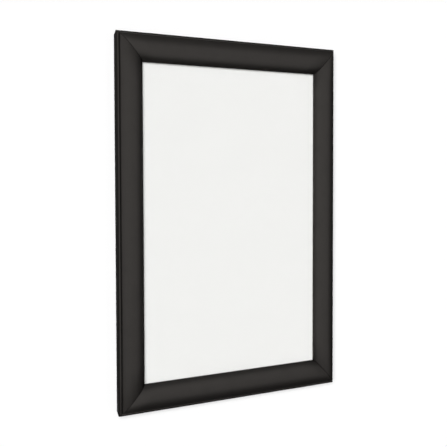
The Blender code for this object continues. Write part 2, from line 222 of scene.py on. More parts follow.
# %% [markdown]
# ## The base profile's section
#
# From the outside inward: a slanted wall that carries a round bead on its edge (the
# hinge), the flat back against the wall with its channel for corner keys and springs, and
# a rib with two lips that form the slot for the back panel. The slanted wall is drawn
# from the hinge: it touches the bead's outer side, so the bead grows out of it without a
# step.

# %% Base section
BASE_BACK_INSET = 0.0028
WALL = 0.0011
WEB = 0.0012
RIB = 0.0010
RIB_MARGIN = 0.0003
LEDGE = 0.0008
LEDGE_REACH = 0.0008
LOWER_LIP = 0.0010
LOWER_LIP_REACH = 0.0080
UPPER_LIP = 0.0008
UPPER_LIP_REACH = 0.0050
INNER_FILLET = 0.0004


def base_section():
    """Straight stretches and fillets, with the bead as an arc of nearly three quarters of
    a turn between the wall's outer and inner face."""
    bead_radius = hinge[0]
    back_edge = np.array([BASE_BACK_INSET, 0])
    to_hinge = hinge - back_edge
    lean = angle_of(to_hinge) + math.asin(bead_radius / np.linalg.norm(to_hinge))
    up = toward(lean)
    inward = np.array([up[1], -up[0]])
    offset = bead_radius - WALL
    drop = math.sqrt(bead_radius**2 - offset**2)
    wall_root = hinge - inward * offset - up * drop
    start = angle_of(-inward)
    sweep = (start - angle_of(wall_root - hinge)) % (2 * math.pi)
    bead = arc(hinge, bead_radius, start, start - sweep, BEAD_STEPS)
    wall_foot = crossing(wall_root, up, np.array([0, WEB]), np.array([1, 0]))
    rib_inner = sheet_inset - EDGE_PLAY
    rib_outer = rib_inner - RIB
    rib_top = cover_front + RIB_MARGIN
    ledge_back = key_front + SEAT_GAP
    ledge_front = ledge_back + LEDGE
    ledge_tip = rib_outer - LEDGE_REACH
    lower_front = panel_back - SEAT_GAP
    lower_back = lower_front - LOWER_LIP
    upper_back = panel_front + SEAT_GAP
    upper_front = upper_back + UPPER_LIP
    corners = [
        (*wall_foot, INNER_FILLET),
        (rib_outer, WEB, EDGE_ROUND),
        (rib_outer, ledge_back, 0),
        (ledge_tip, ledge_back, EDGE_ROUND),
        (ledge_tip, ledge_front, EDGE_ROUND),
        (rib_outer, ledge_front, 0),
        (rib_outer, rib_top, EDGE_ROUND),
        (rib_inner, rib_top, EDGE_ROUND),
        (rib_inner, upper_front, 0),
        (rib_inner + UPPER_LIP_REACH, upper_front, EDGE_ROUND),
        (rib_inner + UPPER_LIP_REACH, upper_back, EDGE_ROUND),
        (rib_inner, upper_back, 0),
        (rib_inner, lower_front, 0),
        (rib_inner + LOWER_LIP_REACH, lower_front, EDGE_ROUND),
        (rib_inner + LOWER_LIP_REACH, lower_back, EDGE_ROUND),
        (rib_inner, lower_back, EDGE_ROUND),
        (rib_inner, 0, EDGE_ROUND),
        (*back_edge, EDGE_ROUND),
    ]
    corners = np.array(corners)
    points = np.concatenate([bead, corners[:, :2]])
    radii = np.concatenate([np.zeros(len(bead)), corners[:, 2]])
    return counter_clockwise(supported(rounded(points, radii)))


base_outline = base_section()
print("base section:", len(base_outline), "points")

# %% [markdown]
# ## The flap's section
#
# The flap is what the photograph shows most of. Its outer edge is a low, well rounded
# nose, and the gap behind that is the dark groove that is seen from the side. From the
# nose the face climbs in an arc, lies level at the crown, stays nearly level over most of
# its width, and then falls steeply to the lip that holds the sheets. Behind the nose a
# round socket wraps the bead, and a notch in its back takes the springs' tips.

# %% Where the notch sits
SOCKET_WALL = 0.0010
SPRING_THICKNESS = 0.0005
OPENING_ANGLE = math.radians(90)


def notch_place():
    """The notch swings through equal angles on both sides of the line from the hinge to
    the springs' seat, so that a spring is as long with the flap shut as with it open."""
    tip = SPRING_THICKNESS / 2
    outer = hinge[0] + SEAT_GAP + SOCKET_WALL
    orbit = outer + SEAT_GAP / 2 + tip / 2
    angle = angle_of(spring_seat - hinge) - OPENING_ANGLE / 2
    return orbit, angle, tip + SEAT_GAP


notch_orbit, notch_angle, notch_radius = notch_place()
notch = hinge + notch_orbit * toward(notch_angle)
print("notch in mm:", (1000 * notch).round(3))

# %% The flap's face
NOSE_HEIGHT = 0.0010
CROWN_SHARE = 0.44
LEVEL_SHARE = 0.65
LIP_SHARE = 0.2
LIP_HEIGHT = 0.0018
LIP_SLOPE = math.radians(40)
SOCKET_EDGE_ANGLE = math.radians(71)
RISE_STEPS = 14
# The last of these steps has to be longer than the fillet that follows it at the lip.
FACE_STEPS = 52


def flap_face():
    """An arc from the nose up to the crown, where it lies level: its radius is (run
    squared plus height squared) over twice the height. Then a cubic Bezier curve that
    leaves the crown level and meets the lip at its slope; its handles are shares of the
    way across from the crown to the lip."""
    edge = hinge + (hinge[0] + SEAT_GAP) * toward(SOCKET_EDGE_ANGLE)
    nose = edge + np.array([0, NOSE_HEIGHT])
    crown = np.array([profile_width * CROWN_SHARE, -cad_low.y])
    lip = np.array([profile_width, cover_front + SEAT_GAP + LIP_HEIGHT])
    climb = crown - nose
    radius = (climb @ climb) / (2 * climb[1])
    centre = crown - np.array([0, radius])
    rise = arc(centre, radius, angle_of(nose - centre), math.pi / 2, RISE_STEPS)[:-1]
    run = lip[0] - crown[0]
    handle_1 = crown + run * np.array([LEVEL_SHARE, 0])
    handle_2 = lip - run * LIP_SHARE * toward(-LIP_SLOPE)
    t = np.linspace(0, 1, FACE_STEPS + 1)[:, None]
    s = 1 - t
    fall = s**3 * crown + 3 * s * s * t * handle_1 + 3 * s * t * t * handle_2 + t**3 * lip
    return np.concatenate([rise, fall])


print("face:", len(flap_face()), "points")

# %% Flap section
FLAP_WALL = 0.0012
NOSE_ROUND = 0.0008
NECK_FILLET = 0.0007
LIP_FOOT = 0.0014
NOTCH_LAND = 0.00035
SOCKET_BACK_ANGLE = math.radians(20)
NOTCH_STEPS = 24
LAND_STEPS = 6


def flap_section():
    """The face, the same curve again one wall behind it, and between their outer ends
    the neck, the socket's back with its notch, and the socket's bore."""
    face = flap_face()
    slope = unit(np.gradient(face, axis=0))
    back = face + FLAP_WALL * np.stack([slope[:, 1], -slope[:, 0]], axis=1)
    inner = hinge[0] + SEAT_GAP
    outer = inner + SOCKET_WALL
    foot = profile_width - LIP_FOOT
    socket_top = hinge + outer * toward(SOCKET_BACK_ANGLE)
    neck_clear = back[:, 0] > socket_top[0] + 2 * NECK_FILLET
    back = back[neck_clear & (back[:, 0] < foot - EDGE_ROUND)][::-1]
    up_neck = toward(SOCKET_BACK_ANGLE + math.pi / 2)
    neck = crossing(socket_top, up_neck, back[-1], back[-1] - back[-2])
    lip_root = crossing(np.array([foot, 0]), np.array([0, 1]), back[0], back[0] - back[1])
    reach = notch_orbit**2 + outer**2 - notch_radius**2
    half_bite = math.acos(reach / (2 * notch_orbit * outer))
    bite_end = notch_angle - half_bite
    socket_end = notch_angle - (notch_radius + NOTCH_LAND) / notch_orbit
    back_arc = arc(hinge, outer, SOCKET_BACK_ANGLE, notch_angle + half_bite)
    first = angle_of(back_arc[-1] - notch)
    last = angle_of(hinge + outer * toward(bite_end) - notch)
    turn = (last - first) % (2 * math.pi)
    bite = arc(notch, notch_radius, first, first + turn, NOTCH_STEPS)
    land = arc(hinge, outer, bite_end, socket_end, LAND_STEPS)
    bore = arc(hinge, inner, socket_end, SOCKET_EDGE_ANGLE, BEAD_STEPS)
    lip_seat = cover_front + SEAT_GAP
    lip = [face[-1], (profile_width, lip_seat), (foot, lip_seat), lip_root]
    socket = np.concatenate([back_arc[:-1], bite, land[1:], bore])
    points = np.concatenate([face[:-1], lip, back[1:], [neck], socket])
    radii = np.concatenate([
        [NOSE_ROUND], np.zeros(len(face) - 2), np.full(len(lip), EDGE_ROUND),
        np.zeros(len(back) - 1), [NECK_FILLET], np.zeros(len(socket)),
    ])
    return counter_clockwise(supported(rounded(points, radii)))


flap_outline = flap_section()
print("flap section:", len(flap_outline), "points")

# %% [markdown]
# ## Carrying a section along its side
#
# The grid has two parameters: the place round the section, and the place along the
# profile. Each point of the section stops at its own length, because the saw goes through
# at forty-five degrees. The last rings draw in along a quarter circle, which breaks the
# sharp edge that the saw leaves, and it is that fine edge that catches light at a mitre.

# %% Extrude closed outlines into a solid with broken edges
EDGE_STEPS = 3
STATIONS = 13
PLATE_STATIONS = 3


def outward(loop):
    """Unit normal of each point, out of the material: the direction of travel turned
    a quarter clockwise."""
    along = unit(np.roll(loop, -1, axis=0) - np.roll(loop, 1, axis=0))
    return np.stack([along[:, 1], -along[:, 0]], axis=1)


def end_rings(edge):
    """How far a ring draws in, and how far it lies behind the cut face, round a quarter
    circle: edge times one less the sine, and edge times one less the cosine."""
    turn = np.linspace(0, math.pi / 2, EDGE_STEPS + 1)
    return edge * (1 - np.sin(turn)), edge * (1 - np.cos(turn))


def extrude(loops, half_lengths, edge, stations=STATIONS):
    """Points are (x, y, along). Ring after ring, x and y are the outline drawn in at the
    ends, and along goes from minus to plus each point's own half length. Gives points,
    quads, cap triangles and, for every face corner, (along, distance round)."""
    drawn, behind = end_rings(edge)
    share = np.linspace(-1, 1, stations)[1:-1]
    sign = np.concatenate([-np.ones(len(drawn)), share, np.ones(len(drawn))])
    shrink = np.concatenate([drawn, np.zeros(len(share)), drawn[::-1]])
    short = np.concatenate([behind, np.full(len(share), edge), behind[::-1]])
    points, quads, quad_uv, start = [], [], [], 0
    for loop, half in zip(loops, half_lengths):
        flat = loop[None] - shrink[:, None, None] * outward(loop)[None]
        along = sign[:, None] * (half[None] - short[:, None])
        points.append(np.concatenate([flat, along[..., None]], axis=2).reshape(-1, 3))
        ring, spot = np.meshgrid(np.arange(len(sign) - 1), np.arange(len(loop)), indexing="ij")
        after = (spot + 1) % len(loop)
        low, high = start + ring * len(loop), start + (ring + 1) * len(loop)
        corners = np.stack([low + spot, low + after, high + after, high + spot], axis=-1)
        quads.append(corners.reshape(-1, 4))
        step = np.linalg.norm(np.roll(loop, -1, axis=0) - loop, axis=1)
        round_to = np.concatenate([[0], np.cumsum(step)])
        u = np.stack([along[ring, spot], along[ring, after], along[ring + 1, after],
                      along[ring + 1, spot]], axis=-1)
        v = np.stack([round_to[spot], round_to[spot + 1]] * 2, axis=-1)[..., [0, 1, 3, 2]]
        quad_uv.append(np.stack([u, v], axis=-1).reshape(-1, 2))
        start += len(sign) * len(loop)
    points = np.concatenate(points)
    caps = cap_triangles(loops, len(sign))
    cap_uv = points[caps.reshape(-1), :2]
    return points, np.concatenate(quads), caps, np.concatenate(quad_uv + [cap_uv])


def cap_triangles(loops, rings):
    """Triangles over the outline and its holes, once for each cut face. The near face is
    seen from the other side, so its triangles run backwards."""
    counts = np.array([len(loop) for loop in loops])
    starts = np.concatenate([[0], np.cumsum(counts * rings)[:-1]])
    near = np.concatenate([s + np.arange(c) for s, c in zip(starts, counts)])
    far = np.concatenate([s + (rings - 1) * c + np.arange(c) for s, c in zip(starts, counts)])
    flat = [[Vector((x, y, 0)) for x, y in loop] for loop in loops]
    faces = np.array(tessellate_polygon(flat))
    spots = np.concatenate(loops)[faces]
    area = cross(spots[:, 1] - spots[:, 0], spots[:, 2] - spots[:, 0])
    if area.sum() < 0:
        faces = faces[:, ::-1]
    return np.concatenate([near[faces][:, ::-1], far[faces]])


# %% [markdown]
# ## From arrays to an object
#
# One function takes the arrays to a mesh for every piece. It also works out the volume,
# as the sum over all faces of the small pyramids from the origin: a negative sum means
# that the faces point inward, and they are then turned round.

# %% Mesh maker
ALONG_MAP = "along_and_round"
SMOOTH_ANGLE = math.radians(30)


def signed_volume(points, faces):
    """A sixth of the sum of each triangle's triple product."""
    a, b, c = (points[faces[:, i]] for i in range(3))
    return np.einsum("ij,ij->", a, np.cross(b, c)) / 6


def add_object(name, data):
    """An object that shows the mesh, lamp or camera in the scene."""
    made = bpy.data.objects.new(name, data)
    scene.collection.objects.link(made)
    return made


def make_piece(name, points, quads, caps, corner_uv, materials):
    """A mesh object at the origin, with the swept faces in the first material and the
    cut faces in the last. Its UV map is in metres along and round the piece."""
    triangles = np.concatenate([quads[:, :3], quads[:, [0, 2, 3]], caps])
    volume = signed_volume(points, triangles)
    quad_corners = corner_uv[:quads.size].reshape(-1, 4, 2)
    cap_corners = corner_uv[quads.size:].reshape(-1, 3, 2)
    if volume < 0:
        quads, caps = quads[:, ::-1], caps[:, ::-1]
        quad_corners, cap_corners = quad_corners[:, ::-1], cap_corners[:, ::-1]
    mesh = bpy.data.meshes.new(name)
    mesh.from_pydata(points, [], quads.tolist() + caps.tolist())
    uv = np.concatenate([quad_corners.reshape(-1, 2), cap_corners.reshape(-1, 2)])
    mesh.uv_layers.new(name=ALONG_MAP).uv.foreach_set("vector", uv.astype(np.float32).ravel())
    for material in materials:
        mesh.materials.append(material)
    slots = np.zeros(len(quads) + len(caps), np.int32)
    slots[len(quads):] = len(materials) - 1
    mesh.polygons.foreach_set("material_index", slots)
    mesh.shade_smooth()
    mesh.set_sharp_from_angle(angle=SMOOTH_ANGLE)
    print(f"{name}: {len(mesh.polygons)} faces, {abs(volume) * 1e6:.3f} cm3")
    return add_object(name, mesh)


# %% [markdown]
# ## Materials
#
# Each finish starts from how the real surface is made. Colours are written as the eye
# sees them, in sRGB hex, and one function turns them to the linear numbers that Blender
# works with. A second adds a node, sets its sockets and links what feeds it. A third lays
# a texture at its real size, and a fourth lets textures drive the colour, the roughness
# and the relief, so that a material reads as a short list.

# %% Colour and node helpers


def linear(code):
    """sRGB hex to linear: shares under 0.04045 are divided by 12.92, the others are
    raised to the power 2.4 after adding 0.055 and dividing by 1.055."""
    share = np.array([int(code[i:i + 2], 16) for i in (1, 3, 5)]) / 255
    low, high = share / 12.92, ((share + 0.055) / 1.055) ** 2.4
    return (*np.where(share <= 0.04045, low, high), 1)


def add_node(tree, kind, inputs=None, **settings):
    """One node: settings are its properties, inputs its sockets by name or number, each
    either a value or the output that feeds it."""
    node = tree.nodes.new("ShaderNode" + kind)
    for key, value in settings.items():
        setattr(node, key, value)
    for key, value in (inputs or {}).items():
        if isinstance(value, bpy.types.NodeSocket):
            tree.links.new(value, node.inputs[key])
        else:
            node.inputs[key].default_value = value
    return node


def new_material(name, **shader_values):
    """A material with its Principled shader's plain values set, and its node tree."""
    material = bpy.data.materials.new(name)
    material.use_nodes = True
    tree = material.node_tree
    shader = tree.nodes["Principled BSDF"]
    for key, value in shader_values.items():
        shader.inputs[key.replace("_", " ")].default_value = value
    return material, tree, shader


print("middle grey #808080 is", round(float(linear("#808080")[0]), 3), "in linear light")

# %% Patterns at their real size, and what they drive


def pattern(tree, kind, size, inputs=None, along=False, **settings):
    """A texture whose unit is its real size in millimetres, one for all axes or one for
    each. It lies on the map that runs along the piece, or on the object's own axes."""
    if along:
        place = add_node(tree, "UVMap", uv_map=ALONG_MAP).outputs["UV"]
    else:
        place = add_node(tree, "TexCoord").outputs["Object"]
    scale = 1000 / np.broadcast_to(size, 3)
    spot = add_node(tree, "Mapping", {"Vector": place, "Scale": scale}).outputs["Vector"]
    return add_node(tree, "Tex" + kind, {"Vector": spot, "Scale": 1, **(inputs or {})}, **settings)


def lay_finish(tree, shader, colour, roughness, relief):
    """Each of the three is a pattern's value and two limits. It mixes two hex colours,
    moves the roughness between two numbers, and raises the surface with a strength and
    a depth in metres."""
    share, low, high = colour
    mix = add_node(tree, "Mix", {0: share, 6: linear(low), 7: linear(high)}, data_type="RGBA")
    share, low, high = roughness
    rough = add_node(tree, "MapRange", {"Value": share, "To Min": low, "To Max": high})
    share, strength, depth = relief
    bump = add_node(tree, "Bump", {"Height": share, "Strength": strength, "Distance": depth})
    tree.links.new(mix.outputs[2], shader.inputs["Base Color"])
    tree.links.new(rough.outputs["Result"], shader.inputs["Roughness"])
    tree.links.new(bump.outputs["Normal"], shader.inputs["Normal"])


# %% [markdown]
# ### Black anodised aluminium
#
# The bar is pushed through a die, etched in caustic soda, dyed black in its own oxide
# layer and sealed. The die leaves hair-fine lines along the bar, the etch turns the
# metal's mirror into a silky sheen, and the dye is never quite even. So the lines follow
# the map that runs along each profile; they are only some tenths of a millimetre apart,
# and here they are drawn about twice as wide so that they show at all. Bare metal mirrors
# nearly all light at a flat angle. The dye swallows much of that, so the shader's tint
# for flat angles is a middle grey, and an edge beside the white paper stays dark.

# %% Extruded face
DARK_RIM = "#5A5A5A"
DYED_METAL = 0.86
DIE_LINE = 0.45
DIE_LINE_LENGTH = 160
DIE_LINE_DEPTH = 0.00004
DYE_CLOUD = 14


def black_anodised_extrusion():
    """Satin black: the dye takes most of the metal's mirror, and the etch blurs the rest."""
    material, tree, shader = new_material(
        "black_anodised_extrusion", Metallic=DYED_METAL, Roughness=0.42,
        Specular_Tint=linear(DARK_RIM),
    )
    detail = {"Detail": 3, "Roughness": 0.6}
    size = (DIE_LINE_LENGTH, DIE_LINE, 1)
    lines = pattern(tree, "Noise", size, detail, along=True).outputs["Fac"]
    clouds = pattern(tree, "Noise", DYE_CLOUD, {"Detail": 4}).outputs["Fac"]
    both = add_node(tree, "Math", {0: lines, 1: clouds}, operation="ADD").outputs[0]
    dye = add_node(tree, "MapRange", {"Value": both, "To Min": -0.5, "To Max": 0.5})
    lay_finish(tree, shader, (dye.outputs["Result"], "#3F3D3B", "#494644"),
               (lines, 0.38, 0.5), (lines, 0.4, DIE_LINE_DEPTH))
    return material


# %% Sawn and dyed mitre face
SAW_MARK = 0.7
SAW_MARK_DEPTH = 0.00004


def black_anodised_saw_cut():
    """The mitre is cut before the bar is dyed, so its face is as black as the rest but
    keeps the saw's marks, a row of fine ridges, and is duller."""
    material, tree, shader = new_material(
        "black_anodised_saw_cut", Metallic=DYED_METAL, Specular_Tint=linear(DARK_RIM)
    )
    ridges = {"Scale": 1 / math.tau, "Distortion": 1.5, "Detail": 2, "Detail Scale": 3}
    marks = pattern(tree, "Wave", SAW_MARK, ridges, bands_direction="Y").outputs["Fac"]
    lay_finish(tree, shader, (marks, "#201E1D", "#282625"), (marks, 0.56, 0.68),
               (marks, 0.5, SAW_MARK_DEPTH))
    return material


# %% [markdown]
# ### The steel pieces
#
# The leaf springs are punched from bright rolled strip: mirror-like, drawn out in fine
# lines by the rolls. The corner keys are punched plate with a zinc coat, which is paler,
# a little blue, and dulls in soft clouds.

# %% Rolled spring strip
ROLL_LINE = 0.25
ROLL_LINE_LENGTH = 30
ROLL_LINE_DEPTH = 0.00002


def rolled_spring_steel():
    """Bright metal whose roughness and colour change from line to line along the strip."""
    material, tree, shader = new_material("rolled_spring_steel", Metallic=1, Roughness=0.3)
    detail = {"Detail": 4, "Roughness": 0.7}
    size = (ROLL_LINE, ROLL_LINE_LENGTH, 1)
    lines = pattern(tree, "Noise", size, detail, along=True).outputs["Fac"]
    lay_finish(tree, shader, (lines, "#A3A2A0", "#BDBCB9"), (lines, 0.22, 0.4),
               (lines, 0.3, ROLL_LINE_DEPTH))
    return material


# %% Zinc plated plate
ZINC_CLOUD = 3.5
ZINC_GRAIN = 0.5
ZINC_GRAIN_DEPTH = 0.00003


def zinc_plated_steel():
    """Pale blue-grey metal: wide clouds of dullness, and a fine grain of crystals."""
    material, tree, shader = new_material("zinc_plated_steel", Metallic=1, Roughness=0.4)
    clouds = pattern(tree, "Noise", ZINC_CLOUD, {"Detail": 5}).outputs["Fac"]
    grain = pattern(tree, "Voronoi", ZINC_GRAIN).outputs["Distance"]
    lay_finish(tree, shader, (clouds, "#B4B8BE", "#CDD0D3"), (clouds, 0.3, 0.52),
               (grain, 0.25, ZINC_GRAIN_DEPTH))
    return material


# %% [markdown]
# ### The sheets
#
# The back panel is polystyrene, rolled with a fine leather grain that keeps it from
# sticking to the paper. The poster's place is left as bare white paper. In front lies a
# thin clear film, matt on its outer side so that lamps don't mirror in it. A film this
# thin bends nothing, so it is drawn as a surface that lets most light straight through
# and scatters the rest, instead of as solid glass.

# %% Back panel
LEATHER_GRAIN = 0.9
LEATHER_DEPTH = 0.0001


def grained_polystyrene():
    """Matt grey plastic with the rounded cells of an embossing roll."""
    material, tree, shader = new_material("grained_polystyrene", IOR=1.55, Roughness=0.55)
    cells = pattern(tree, "Voronoi", LEATHER_GRAIN, feature="SMOOTH_F1").outputs["Distance"]
    lay_finish(tree, shader, (cells, "#535455", "#5F6061"), (cells, 0.5, 0.66),
               (cells, 0.5, LEATHER_DEPTH))
    return material


# %% Paper
PAPER_FIBRE = 0.6
PAPER_CLOUD = 9
PAPER_TOOTH = 0.00002


def uncoated_white_paper():
    """Bright white, scattering evenly, with faint clouds of fibre and a dry tooth."""
    material, tree, shader = new_material("uncoated_white_paper", IOR=1.45, Roughness=0.9)
    fibre = pattern(tree, "Noise", PAPER_FIBRE, {"Detail": 4}).outputs["Fac"]
    clouds = pattern(tree, "Noise", PAPER_CLOUD, {"Detail": 3}).outputs["Fac"]
    lay_finish(tree, shader, (clouds, "#F5F5F3", "#F8F8F6"), (fibre, 0.84, 0.96),
               (fibre, 0.2, PAPER_TOOTH))
    return material


# %% Cover film
FILM_GRAIN = 0.35
FILM_GRAIN_DEPTH = 0.00001
FILM_VEIL = 0.08


def matt_clear_film():
    """Clear plastic film with a fine matt emboss: a veil over the paper and a wide, weak
    sheen."""
    material, tree, shader = new_material(
        "matt_clear_film", IOR=1.5, Roughness=0.5, Alpha=FILM_VEIL
    )
    grain = pattern(tree, "Noise", FILM_GRAIN, {"Detail": 2}).outputs["Fac"]
    lay_finish(tree, shader, (grain, "#EFF0EF", "#F4F4F3"), (grain, 0.44, 0.58),
               (grain, 0.15, FILM_GRAIN_DEPTH))
    return material


# %% Make the finishes once
extrusion_black = black_anodised_extrusion()
saw_cut_black = black_anodised_saw_cut()
spring_steel = rolled_spring_steel()
zinc_plate = zinc_plated_steel()
polystyrene = grained_polystyrene()
paper = uncoated_white_paper()
film = matt_clear_film()
print("materials:", len(bpy.data.materials))

# %% [markdown]
# ## Placing the four sides
#
# The top side is drawn once. The others are the same drawing turned by quarter turns
# about the frame's middle, on a line that is half the width or half the height away.

# %% Side by side
SIDES = ("top", "right", "bottom", "left")


def side_length(quarter):
    """The side's full length along the frame's outermost line."""
    return width if quarter % 2 == 0 else height


def side_frame(quarter):
    """The side's outermost line: its middle, half the next side's length away from the
    frame's, and the directions along it and outward, by quarter turns about the Y axis."""
    turn = quarter * math.pi / 2
    outward_way = np.array([math.sin(turn), 0, math.cos(turn)])
    along_way = np.array([math.cos(turn), 0, -math.sin(turn)])
    half = side_length(quarter + 1) / 2
    return np.array(middle) + half * outward_way, along_way, outward_way


def on_side(points, quarter):
    """(inset, rise, along) to the row frame: from the side's outer line, inset goes
    inward, rise towards -Y and along follows the side."""
    origin, along_way, outward_way = side_frame(quarter)
    forward = np.array([0, -1, 0])
    inset, rise, along = (points[:, i:i + 1] for i in range(3))
    return origin - inset * outward_way + rise * forward + along * along_way


print("side lengths in mm:", [round(1000 * side_length(i), 1) for i in range(len(SIDES))])

# %% [markdown]
# ## Base profiles
#
# A base profile stops at the mitre plane: a point that lies further in stops earlier, by
# exactly its inset. The two long ones have a round hole near each end for the wall
# screws; a round cutter through the flat back makes them.

# %% Four base profiles
SAW_EDGE = 0.00006
MITRE_GAP = 0.0003
MITRE_SETBACK = MITRE_GAP / 2 * math.sqrt(2)
SCREW_HOLE_RADIUS = 0.00225
SCREW_HOLE_FROM_END = 0.047
SCREW_HOLE_STEPS = 48
CUTTER_HALF_LENGTH = 2 * WEB


def cut_screw_holes(base, quarter):
    """Take two round bars out of the flat back and keep the result as the mesh: the
    manifold way of cutting, because it gives a closed mesh again."""
    circle = arc(np.zeros(2), SCREW_HOLE_RADIUS, 0, math.tau, SCREW_HOLE_STEPS)[:-1]
    half = np.full(len(circle), CUTTER_HALF_LENGTH)
    points, quads, caps, corner_uv = extrude([circle], [half], SAW_EDGE, PLATE_STATIONS)
    web_middle = (BASE_BACK_INSET + sheet_inset - EDGE_PLAY) / 2
    along = side_length(quarter) / 2 - SCREW_HOLE_FROM_END
    cutters = []
    for place in (-along, along):
        spots = np.stack([points[:, 0] + web_middle, points[:, 2], points[:, 1] + place], 1)
        cutter = make_piece("cutter", on_side(spots, quarter), quads, caps, corner_uv,
                            [extrusion_black])
        cut = base.modifiers.new("screw_hole", "BOOLEAN")
        cut.solver = "MANIFOLD"
        cut.object = cutter
        cutters.append(cutter)
    solid = base.evaluated_get(bpy.context.evaluated_depsgraph_get())
    mesh = bpy.data.meshes.new_from_object(solid)
    mesh.set_sharp_from_angle(angle=SMOOTH_ANGLE)
    base.modifiers.clear()
    base.data = mesh
    for cutter in cutters:
        bpy.data.objects.remove(cutter)


for quarter, side in enumerate(SIDES):
    half = side_length(quarter) / 2 - base_outline[:, 0] - MITRE_SETBACK
    points, quads, caps, corner_uv = extrude([base_outline], [half], SAW_EDGE)
    base = make_piece(f"{side}_base_extrusion", on_side(points, quarter), quads, caps,
                      corner_uv, [extrusion_black, saw_cut_black])
    if quarter % 2 == 1:
        cut_screw_holes(base, quarter)
    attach(base, "frame")
    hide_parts(f"base_profile_{side}")

# %% [markdown]
# ## Flaps
#
# What lies behind the hinge swings inward first when a flap opens, so its ends are cut
# back a little further: each point there stops at its distance from the hinge, and not at
# its inset. The face in front of the hinge keeps the plain mitre.

# %% Four flaps


def swing_reach(section):
    """How far inward a flap's point gets while the flap swings: its inset, or behind the
    hinge, the hinge's inset plus the point's distance from the hinge."""
    swung = hinge[0] + np.linalg.norm(section - hinge, axis=1)
    return np.where(section[:, 1] >= hinge[1], section[:, 0], swung)


for quarter, side in enumerate(SIDES):
    half = side_length(quarter) / 2 - swing_reach(flap_outline) - MITRE_SETBACK
    points, quads, caps, corner_uv = extrude([flap_outline], [half], SAW_EDGE)
    flap = make_piece(f"{side}_flap_extrusion", on_side(points, quarter), quads, caps,
                      corner_uv, [extrusion_black, saw_cut_black])
    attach(flap, f"{side}_flap")
    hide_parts(f"flap_{side}")

# %% [markdown]
# ## Leaf springs
#
# Each spring is a short bowed strip with rounded tips, so its outline is drawn from the
# side, as two arcs about one centre, and extruded across the strip's width. Punching
# rounds the strip's long edges, which the quarter-circle end rings give.

# %% Eight leaf springs
PUNCHED_EDGE = 0.00012
SPRING_BOW = 0.0008
SPRING_STATIONS = 9
TIP_STEPS = 10


def spring_section():
    """Two arcs half a thickness outside and inside the bow, joined by round tips. The
    bow's radius comes from its chord and height: (chord squared over 4 plus height
    squared) over twice the height."""
    tip = SPRING_THICKNESS / 2
    chord = notch - spring_seat
    reach = np.linalg.norm(chord)
    radius = (reach**2 / 4 + SPRING_BOW**2) / (2 * SPRING_BOW)
    half = math.asin(reach / (2 * radius))
    front = np.array([chord[1], -chord[0]]) / reach
    bow_middle = (notch + spring_seat) / 2
    centre = bow_middle + front * (radius - SPRING_BOW)
    way = angle_of(bow_middle - centre)
    start, end = way - half, way + half
    return counter_clockwise(np.concatenate([
        arc(centre, radius + tip, start, end),
        arc(centre + radius * toward(end), tip, end, end + math.pi, TIP_STEPS)[1:-1],
        arc(centre, radius - tip, end, start),
        arc(centre + radius * toward(start), tip, start - math.pi, start, TIP_STEPS)[1:-1],
    ]))


spring_outline = spring_section()
for quarter, side in enumerate(SIDES):
    for number in (1, 2):
        node = f"spring_{side}_{number}"
        low, high = (np.array(corner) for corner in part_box(node))
        origin, along_way, _ = side_frame(quarter)
        place = ((low + high) / 2 - origin) @ along_way
        half_width = abs((high - low) @ along_way) / 2
        half = np.full(len(spring_outline), half_width)
        points, quads, caps, corner_uv = extrude(
            [spring_outline], [half], PUNCHED_EDGE, SPRING_STATIONS
        )
        points[:, 2] += place
        strip = make_piece(f"{side}_leaf_spring_{number}", on_side(points, quarter), quads,
                           caps, corner_uv, [spring_steel])
        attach(strip, f"{side}_springs")
        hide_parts(node)

# %% [markdown]
# ## Corner keys
#
# A key is an L punched from plate, with cropped arm ends and two holes in each arm,
# where the profile is punched down to hold it. It is the same extrusion again, with the
# holes as more outlines. Punching and plating leave its edges a little round.

# %% Four corner keys
KEY_ROUND = 0.0006
KEY_CHAMFER = 0.0020
KEY_HOLE_RADIUS = 0.0016
KEY_HOLE_SHARES = (0.52, 0.82)
KEY_HOLE_STEPS = 32
KEY_EDGE = 0.00025


def key_loops(start, tip):
    """The L in (inset, inset) from the frame's corner: one arm's corners, and the same
    ones mirrored for the other arm; then the holes, wound the other way."""
    inner = sheet_inset - EDGE_PLAY - RIB - SEAT_GAP
    arm = np.array([
        (tip - KEY_CHAMFER, start), (tip, start + KEY_CHAMFER),
        (tip, inner - KEY_CHAMFER), (tip - KEY_CHAMFER, inner),
    ])
    corners = np.concatenate([[(start, start)], arm, [(inner, inner)], arm[::-1, ::-1]])
    edge = rounded(corners, np.full(len(corners), KEY_ROUND))
    loops = [counter_clockwise(edge)]
    line = (start + inner) / 2
    for share in KEY_HOLE_SHARES:
        reach = start + (tip - start) * share
        for centre in ((reach, line), (line, reach)):
            ring = arc(np.array(centre), KEY_HOLE_RADIUS, 0, math.tau, KEY_HOLE_STEPS)[:-1]
            loops.append(ring[::-1])
    return loops


KEY_CORNERS = {"top_left": (-1, 1), "top_right": (1, 1), "bottom_right": (1, -1),
               "bottom_left": (-1, -1)}
for corner, (across, up) in KEY_CORNERS.items():
    low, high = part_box(f"corner_key_{corner}")
    outer_x = width / 2 - max(abs(low.x - middle.x), abs(high.x - middle.x))
    inner_x = width / 2 - min(abs(low.x - middle.x), abs(high.x - middle.x))
    loops = key_loops(outer_x, inner_x)
    half = (key_front - key_back) / 2
    points, quads, caps, corner_uv = extrude(
        loops, [np.full(len(loop), half) for loop in loops], KEY_EDGE, PLATE_STATIONS
    )
    place = np.stack([
        middle.x + across * (width / 2 - points[:, 0]),
        points[:, 2] - (key_front + key_back) / 2,
        middle.z + up * (height / 2 - points[:, 1]),
    ], axis=1)
    key = make_piece(f"{corner}_corner_key", place, quads, caps, corner_uv, [zinc_plate])
    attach(key, "frame")
    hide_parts(f"corner_key_{corner}")

